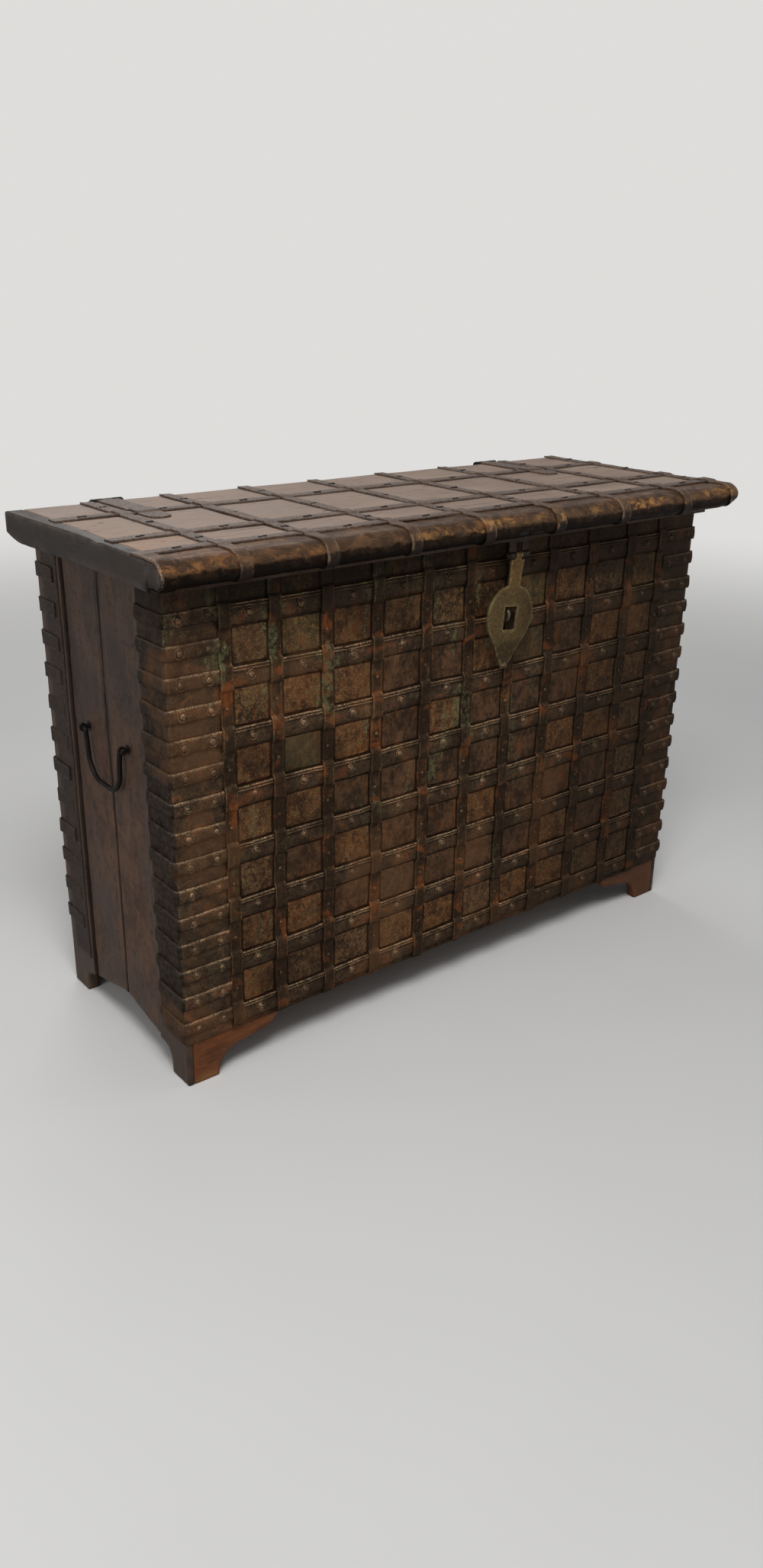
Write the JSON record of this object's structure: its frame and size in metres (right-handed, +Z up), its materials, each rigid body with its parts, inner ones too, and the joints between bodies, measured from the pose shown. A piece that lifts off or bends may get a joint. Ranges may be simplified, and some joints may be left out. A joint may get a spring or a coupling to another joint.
{
  "type": "dowry chest",
  "caption": "Tall wooden dowry chest with a sheet-clad strapped front, bracket feet, hinged strapped lid with rounded front moulding, hanging slotted hasp and a bail at each end.",
  "frame": {"origin": "on the floor, under the middle of the whole chest's bounding box", "axes": "+X along the chest from its left end to its right end, front faces -Y, +Z up"},
  "size_m": [1.256, 0.518, 0.901],
  "materials": {
    "body_wood": "dark waxed plank, worn, with pale scuffs",
    "foot_wood": "reddish brown board, worn bare at the feet",
    "inner_wood": "plain sawn wood",
    "lid_wood": "dusty weathered planks",
    "lid_edge_wood": "grey-black weathered edge grain",
    "front_brass": "aged sheet with brown and green patina",
    "corner_iron": "rusted sheet bands",
    "strap_iron": "dark rusted strap",
    "nose_brass": "flaking brass sheet",
    "lid_strap_iron": "grey-brown worn strap",
    "hasp_brass": "olive brass plate",
    "black_iron": "black forged iron",
    "grey_steel": "worn grey steel"
  },
  "bodies": {
    "carcase": {"front_board_upper": "foot_wood", "front_board_lower": "foot_wood", "back_board_upper": "inner_wood", "back_board_lower": "inner_wood", "floor_front_plank": "inner_wood", "floor_rear_plank": "inner_wood", "floor_bearers": "inner_wood", "front_left_post": "body_wood", "front_right_post": "body_wood", "rear_left_post": "body_wood", "rear_right_post": "body_wood", "left_end_front_plank": "body_wood", "left_end_rear_plank": "body_wood", "right_end_front_plank": "body_wood", "right_end_rear_plank": "body_wood", "front_sheet": "front_brass", "front_left_corner_sheet": "corner_iron", "front_right_corner_sheet": "corner_iron", "front_left_corner_bands": "corner_iron", "front_right_corner_bands": "corner_iron", "front_upright_straps": "strap_iron", "front_cross_straps": "strap_iron", "rear_corner_strips": "strap_iron", "rear_left_corner_bands": "strap_iron", "rear_right_corner_bands": "strap_iron", "front_strap_rivets": "strap_iron", "corner_band_rivets": "strap_iron", "front_studs": "strap_iron", "left_bail_eyes": "black_iron", "right_bail_eyes": "black_iron", "left_hinge_back_leaf": "black_iron", "right_hinge_back_leaf": "black_iron", "hinge_pins": "black_iron", "hasp_staple": "grey_steel"},
    "lid": {"lid_battens": "inner_wood", "lid_left_end_rail": "inner_wood", "lid_right_end_rail": "inner_wood", "lid_front_rail": "body_wood", "lid_rear_rail": "body_wood", "lid_front_plank": "lid_wood", "lid_middle_plank": "lid_wood", "lid_rear_plank": "lid_wood", "lid_left_end_board": "lid_edge_wood", "lid_right_end_board": "lid_edge_wood", "lid_nose": "lid_edge_wood", "nose_sheath": "nose_brass", "nose_left_end_strap": "nose_brass", "nose_joint_strap": "lid_strap_iron", "lid_cross_straps": "lid_strap_iron", "lid_right_edge_strap": "lid_strap_iron", "lid_long_straps": "lid_strap_iron", "lid_nails": "lid_strap_iron", "left_hinge_lid_leaf": "lid_strap_iron", "right_hinge_lid_leaf": "lid_strap_iron", "hasp_bracket": "grey_steel", "hasp_pin": "grey_steel"},
    "hasp": {"hasp_plate": "hasp_brass"},
    "left_bail": {"left_bail": "black_iron"},
    "right_bail": {"right_bail": "black_iron"}
  },
  "joints": [
    {"name": "lid_hinge", "type": "hinge", "parent": "carcase", "child": "lid", "pos_m": [0, 0.253, 0.893], "axis": [-1, 0, 0], "range_deg": [0, 105]},
    {"name": "hasp_hinge", "type": "hinge", "parent": "lid", "child": "hasp", "pos_m": [0.08, -0.2125, 0.819], "axis": [-1, 0, 0], "range_deg": [-4, 110]},
    {"name": "left_bail_hinge", "type": "hinge", "parent": "carcase", "child": "left_bail", "pos_m": [-0.597, 0.0315, 0.558], "axis": [0, 1, 0], "range_deg": [-4, 170]},
    {"name": "right_bail_hinge", "type": "hinge", "parent": "carcase", "child": "right_bail", "pos_m": [0.597, 0.0315, 0.558], "axis": [0, -1, 0], "range_deg": [-4, 170]}
  ]
}
